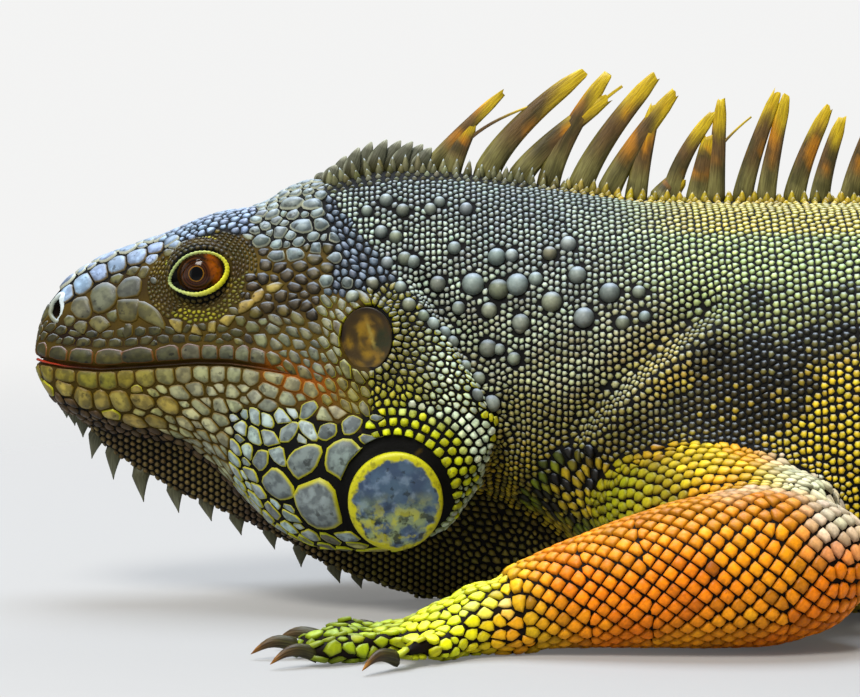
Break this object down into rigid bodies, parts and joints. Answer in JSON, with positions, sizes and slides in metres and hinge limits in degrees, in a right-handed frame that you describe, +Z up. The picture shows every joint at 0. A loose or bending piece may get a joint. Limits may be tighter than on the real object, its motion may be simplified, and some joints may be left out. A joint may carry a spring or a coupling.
{
  "type": "green iguana",
  "caption": "Life-size still model of an adult male green iguana lying on its belly, with tall crest, large jowl scales, dewlap, banded tail and clawed feet.",
  "frame": {"origin": "on the floor, under the middle of the box round the whole animal", "axes": "+X from the snout towards the tail, +Y to the animal's right, +Z up"},
  "size_m": [1.3106, 0.3358, 0.1332],
  "materials": {
    "head": "blue-grey horny plates with cream edges",
    "jaw": "tan and olive plates over the jaw and jowl",
    "dewlap": "dark brown skin with rows of small scales",
    "neck": "blue-grey beads on dark skin",
    "trunk": "small olive to golden scales in upright rows",
    "tail": "keeled olive and brown scales in rings, with dark bands",
    "arm": "orange keeled scales with dark gaps",
    "leg": "olive-gold keeled scales",
    "hand": "yellow-green plates on the fingers",
    "foot": "olive-green plates on the toes",
    "claw": "dark horn",
    "eye": "wet, orange-brown iris with a round black pupil",
    "ear": "thin golden-brown membrane",
    "shield": "smooth mottled blue-grey scale"
  },
  "bodies": {
    "root": {"dewlap": "dewlap", "ear_drum_left": "ear", "ear_drum_right": "ear", "eye_left": "eye", "eye_right": "eye", "foot_left": "foot", "foot_left_claw_1": "claw", "foot_left_claw_2": "claw", "foot_left_claw_3": "claw", "foot_left_claw_4": "claw", "foot_left_claw_5": "claw", "foot_right": "foot", "foot_right_claw_1": "claw", "foot_right_claw_2": "claw", "foot_right_claw_3": "claw", "foot_right_claw_4": "claw", "foot_right_claw_5": "claw", "forearm_left": "arm", "forearm_right": "arm", "hand_left": "hand", "hand_left_claw_1": "claw", "hand_left_claw_2": "claw", "hand_left_claw_3": "claw", "hand_left_claw_4": "claw", "hand_left_claw_5": "claw", "hand_right": "hand", "hand_right_claw_1": "claw", "hand_right_claw_2": "claw", "hand_right_claw_3": "claw", "hand_right_claw_4": "claw", "hand_right_claw_5": "claw", "head": "head", "jowl_shield_left": "shield", "jowl_shield_right": "shield", "lower_jaw": "jaw", "neck": "neck", "shank_left": "leg", "shank_right": "leg", "tail_1": "tail", "tail_2": "tail", "tail_3": "tail", "tail_4": "tail", "tail_5": "tail", "thigh_left": "leg", "thigh_right": "leg", "trunk": "trunk", "upper_arm_left": "arm", "upper_arm_right": "arm"}
  },
  "joints": []
}
